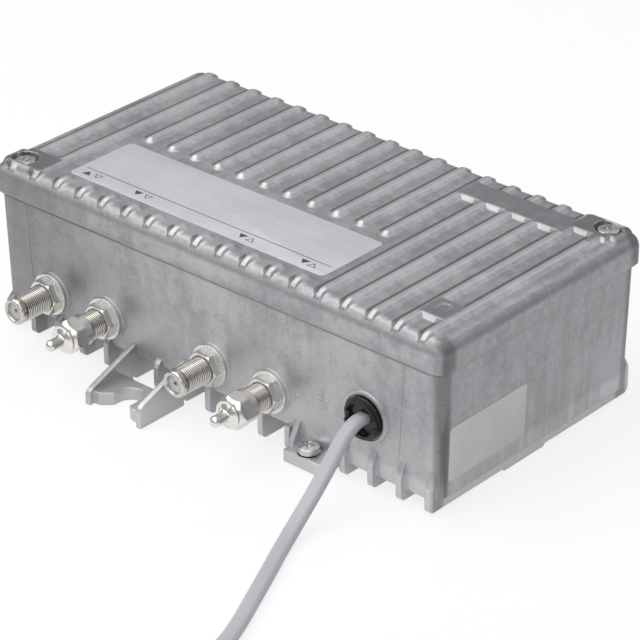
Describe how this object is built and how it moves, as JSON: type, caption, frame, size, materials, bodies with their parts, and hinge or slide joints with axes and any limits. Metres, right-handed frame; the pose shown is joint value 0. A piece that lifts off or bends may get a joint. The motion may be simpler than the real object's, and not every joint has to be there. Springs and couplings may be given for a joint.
{
  "type": "tv signal amplifier",
  "caption": "Aerial signal amplifier in a finned die-cast box: ribbed screw-on lid, threaded coaxial sockets with terminating caps, earth terminal and flat mains lead.",
  "frame": {"origin": "on the wall plane under the middle of the box's outline, mains lead left out", "axes": "+X along the width, sockets look along -Y, +Z from the wall plane out through the lid"},
  "size_m": [0.2827, 0.3125, 0.0632],
  "materials": {
    "cast_aluminium": "as-cast, satin",
    "steel": "zinc plated",
    "nickel": "nickel plated",
    "rubber": "matt",
    "bush_plastic": "moulded",
    "cord_pvc": "soft grey jacket",
    "white_plastic": "moulded",
    "contact_brass": "plated spring",
    "board": "glass-epoxy laminate",
    "black_plastic": "moulded",
    "wire_jacket": "insulated wire",
    "blue_plastic": "moulded",
    "green_plastic": "moulded",
    "yellow_plastic": "moulded case",
    "copper": "enamelled winding"
  },
  "bodies": {
    "base": {"housing": "cast_aluminium", "wall_lug_front": "cast_aluminium", "wall_lug_rear": "cast_aluminium", "lid_gasket": "rubber", "f_socket_1": "nickel", "f_nut_1": "nickel", "f_washer_1": "nickel", "f_contact_1": "contact_brass", "f_socket_2": "nickel", "f_nut_2": "nickel", "f_washer_2": "nickel", "f_contact_2": "contact_brass", "f_socket_3": "nickel", "f_nut_3": "nickel", "f_washer_3": "nickel", "f_contact_3": "contact_brass", "f_socket_4": "nickel", "f_nut_4": "nickel", "f_washer_4": "nickel", "f_contact_4": "contact_brass", "f_insulators": "white_plastic", "strain_relief": "bush_plastic", "mains_cord": "cord_pvc", "mains_cord_coil": "cord_pvc", "mains_cord_tail": "cord_pvc", "cord_tie": "white_plastic", "mains_plug": "cord_pvc", "plug_pins": "nickel", "mains_wires": "wire_jacket", "signal_board": "board", "power_board": "board", "board_screws": "steel", "shield_frame": "steel", "filter_cans": "steel", "amplifier_chips": "black_plastic", "trimmer_cases": "blue_plastic", "terminal_block": "green_plastic", "fuse": "steel", "mains_capacitor": "yellow_plastic", "choke": "copper", "bulk_capacitor": "black_plastic", "transformer": "black_plastic", "smoothing_capacitors": "blue_plastic", "power_transistor": "black_plastic"},
    "lid": {"lid": "cast_aluminium"},
    "lid_washer_front": {"lid_washer_front": "steel"},
    "lid_screw_front": {"lid_screw_front": "steel"},
    "lid_washer_rear": {"lid_washer_rear": "steel"},
    "lid_screw_rear": {"lid_screw_rear": "steel"},
    "cap_core_2": {"cap_core_2": "white_plastic"},
    "cap_shell_2": {"cap_shell_2": "nickel"},
    "cap_core_4": {"cap_core_4": "white_plastic"},
    "cap_shell_4": {"cap_shell_4": "nickel"},
    "earth_washer": {"earth_washer": "steel"},
    "earth_screw": {"earth_screw": "steel"},
    "trimmer_1": {"trimmer_rotor_1": "white_plastic"},
    "trimmer_2": {"trimmer_rotor_2": "white_plastic"},
    "trimmer_3": {"trimmer_rotor_3": "white_plastic"},
    "trimmer_4": {"trimmer_rotor_4": "white_plastic"}
  },
  "joints": [
    {"name": "lid_lift", "type": "slide", "parent": "base", "child": "lid", "axis": [0, 0, 1], "range_m": [0, 0.06]},
    {"name": "lid_screw_front_lift", "type": "slide", "parent": "lid", "child": "lid_washer_front", "axis": [0, 0, 1], "range_m": [0, 0.0084]},
    {"name": "lid_screw_front_turn", "type": "hinge", "parent": "lid_washer_front", "child": "lid_screw_front", "pos_m": [-0.0895, -0.0372, 0.06], "axis": [0, 0, 1], "range_deg": [0, 4320]},
    {"name": "lid_screw_rear_lift", "type": "slide", "parent": "lid", "child": "lid_washer_rear", "axis": [0, 0, 1], "range_m": [0, 0.0084]},
    {"name": "lid_screw_rear_turn", "type": "hinge", "parent": "lid_washer_rear", "child": "lid_screw_rear", "pos_m": [0.0895, 0.0508, 0.06], "axis": [0, 0, 1], "range_deg": [0, 4320]},
    {"name": "cap_2_draw", "type": "slide", "parent": "base", "child": "cap_core_2", "axis": [0, -1, 0], "range_m": [0, 0.00635]},
    {"name": "cap_2_turn", "type": "hinge", "parent": "cap_core_2", "child": "cap_shell_2", "pos_m": [-0.0473, -0.0592, 0.0194], "axis": [0, -1, 0], "range_deg": [0, 2880]},
    {"name": "cap_4_draw", "type": "slide", "parent": "base", "child": "cap_core_4", "axis": [0, -1, 0], "range_m": [0, 0.00635]},
    {"name": "cap_4_turn", "type": "hinge", "parent": "cap_core_4", "child": "cap_shell_4", "pos_m": [0.0271, -0.0592, 0.0194], "axis": [0, -1, 0], "range_deg": [0, 2880]},
    {"name": "earth_screw_lift", "type": "slide", "parent": "base", "child": "earth_washer", "axis": [0, 0, 1], "range_m": [0, 0.0021]},
    {"name": "earth_screw_turn", "type": "hinge", "parent": "earth_washer", "child": "earth_screw", "pos_m": [0.0466, -0.0467, 0.006], "axis": [0, 0, 1], "range_deg": [0, 1080]},
    {"name": "trimmer_1_turn", "type": "hinge", "parent": "base", "child": "trimmer_1", "pos_m": [-0.0734, -0.0242, 0.019], "axis": [0, 0, 1], "range_deg": [-135, 135]},
    {"name": "trimmer_2_turn", "type": "hinge", "parent": "base", "child": "trimmer_2", "pos_m": [-0.0473, -0.0242, 0.019], "axis": [0, 0, 1], "range_deg": [-135, 135]},
    {"name": "trimmer_3_turn", "type": "hinge", "parent": "base", "child": "trimmer_3", "pos_m": [0.001, -0.0242, 0.019], "axis": [0, 0, 1], "range_deg": [-135, 135]},
    {"name": "trimmer_4_turn", "type": "hinge", "parent": "base", "child": "trimmer_4", "pos_m": [0.0271, -0.0242, 0.019], "axis": [0, 0, 1], "range_deg": [-135, 135]}
  ],
  "couplings": [
    {"joint": "lid_screw_front_turn", "follows": "lid_screw_front_lift", "rad_per_m": 8976},
    {"joint": "lid_screw_rear_turn", "follows": "lid_screw_rear_lift", "rad_per_m": 8976},
    {"joint": "cap_2_turn", "follows": "cap_2_draw", "rad_per_m": 7915.8},
    {"joint": "cap_4_turn", "follows": "cap_4_draw", "rad_per_m": 7915.8},
    {"joint": "earth_screw_turn", "follows": "earth_screw_lift", "rad_per_m": 8976}
  ]
}
